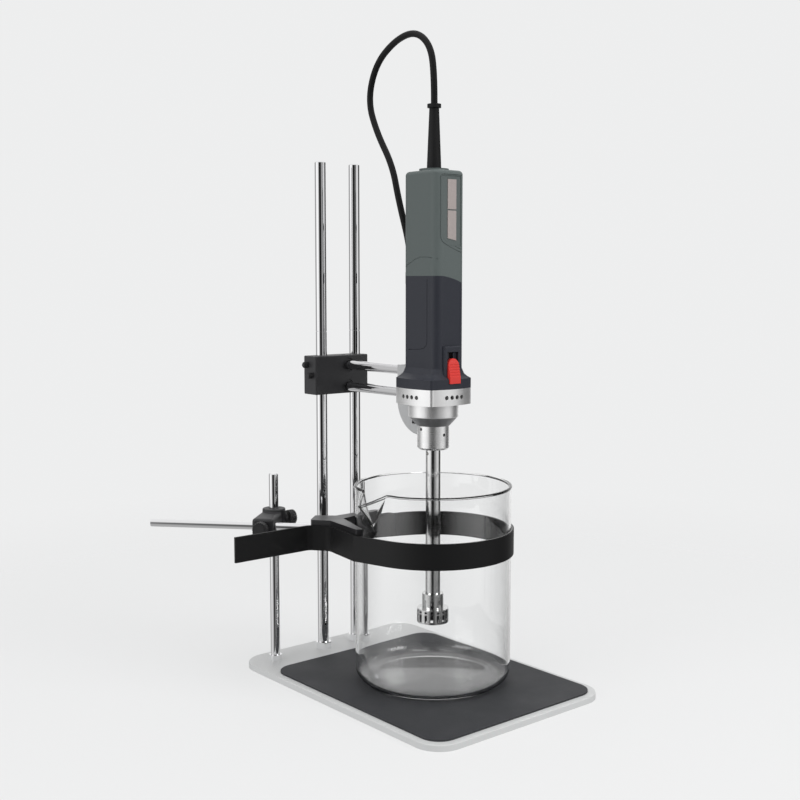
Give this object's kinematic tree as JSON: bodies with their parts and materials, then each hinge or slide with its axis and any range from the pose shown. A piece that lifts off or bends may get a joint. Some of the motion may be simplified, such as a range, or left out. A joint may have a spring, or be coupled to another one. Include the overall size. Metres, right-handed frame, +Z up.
{
  "type": "rotor stator homogenizer",
  "caption": "Bench rotor stator homogenizer: motor on a cross block that slides on upright posts over a strapped glass beaker.",
  "frame": {"origin": "centre of the base plate's underside", "axes": "+Z up along the posts; the operator stands on the -Y side and the posts rise at the +Y side; +X is the operator's right"},
  "size_m": [0.3048, 0.362, 0.653],
  "materials": {
    "plate": "satin",
    "mat": "matte",
    "chrome": "polished",
    "block_black": "satin",
    "bracket": "satin",
    "nose": "bright turned",
    "steel": "turned",
    "dark_ring": "satin",
    "shell_dark": "satin",
    "shell_grey": "satin",
    "label": "satin",
    "red": "satin",
    "glass": "clear",
    "strap": "satin",
    "clamp_black": "satin",
    "knob_black": "satin",
    "screw": "satin",
    "cord": "matte",
    "copper": "enamelled wire",
    "laminations": "stacked sheets",
    "carbon": "matte",
    "brass": "satin",
    "inner_plastic": "matte",
    "bush": "matte"
  },
  "bodies": {
    "stand": {"base_plate": "plate", "rubber_mat": "mat", "post_left_lower": "chrome", "post_left_upper": "chrome", "post_right_lower": "chrome", "post_right_upper": "chrome", "post_foot_nuts": "chrome", "short_post": "chrome", "short_post_collar": "chrome", "beaker": "glass"},
    "motor_arm": {"cross_block": "block_black", "rod_lower": "chrome", "rod_upper": "chrome", "rod_grub_screws": "screw", "motor_bracket": "bracket", "bracket_screws": "screw", "vent_housing": "nose", "coupling_sleeve": "steel", "sleeve_grub_screws": "screw", "taper_ring": "dark_ring", "housing_lower": "shell_dark", "housing_upper": "shell_grey", "label_plates": "label", "switch_module": "inner_plastic", "stator_core": "laminations", "field_coils": "copper", "brush_holders": "brass", "carbon_brushes": "carbon", "bearing_bridge": "inner_plastic", "top_bearing": "steel", "nose_bearing": "steel", "nose_seal": "mat", "stator_tube": "steel", "shaft_bushes": "bush", "stator_head": "steel", "strain_relief": "cord", "power_cord": "cord", "cord_hank": "cord", "hank_tie": "cord", "power_plug": "cord"},
    "rotor": {"armature": "laminations", "motor_shaft": "steel", "commutator": "copper", "cooling_fan": "inner_plastic", "shaft_coupling": "brass", "drive_shaft": "steel", "rotor_head": "steel"},
    "vessel_clamp": {"v_jaw": "clamp_black", "strap": "strap", "strap_screw": "screw", "clamp_rod": "chrome", "boss_head": "clamp_black"},
    "switch": {"switch_button": "red"},
    "post_knob": {"boss_post_knob": "knob_black"},
    "rod_knob": {"boss_rod_knob": "knob_black"},
    "block_screw_rear": {"block_screw_rear": "knob_black"},
    "block_screw_front": {"block_screw_front": "knob_black"}
  },
  "joints": [
    {"name": "arm_height", "type": "slide", "parent": "stand", "child": "motor_arm", "axis": [0, 0, 1], "range_m": [-0.05, 0.19]},
    {"name": "rotor_spin", "type": "hinge", "parent": "motor_arm", "child": "rotor", "pos_m": [0.007, -0.0183, 0.3], "axis": [0, 0, 1], "continuous": true},
    {"name": "switch_slide", "type": "slide", "parent": "motor_arm", "child": "switch", "axis": [0, 0, 1], "range_m": [0, 0.006]},
    {"name": "clamp_height", "type": "slide", "parent": "stand", "child": "vessel_clamp", "axis": [0, 0, 1], "range_m": [-0.095, 0.008]},
    {"name": "post_knob_turn", "type": "hinge", "parent": "vessel_clamp", "child": "post_knob", "pos_m": [-0.083, 0.1325, 0.1575], "axis": [1, 0, 0], "range_deg": [0, 360]},
    {"name": "rod_knob_turn", "type": "hinge", "parent": "vessel_clamp", "child": "rod_knob", "pos_m": [-0.10858, 0.11097, 0.1575], "axis": [-0.7455, -0.6665, 0], "range_deg": [0, 360]},
    {"name": "block_screw_rear_turn", "type": "hinge", "parent": "motor_arm", "child": "block_screw_rear", "pos_m": [-0.036, 0.1355, 0.3185], "axis": [-1, 0, 0], "range_deg": [0, 360]},
    {"name": "block_screw_front_turn", "type": "hinge", "parent": "motor_arm", "child": "block_screw_front", "pos_m": [-0.036, 0.1275, 0.3075], "axis": [-1, 0, 0], "range_deg": [0, 360]}
  ]
}
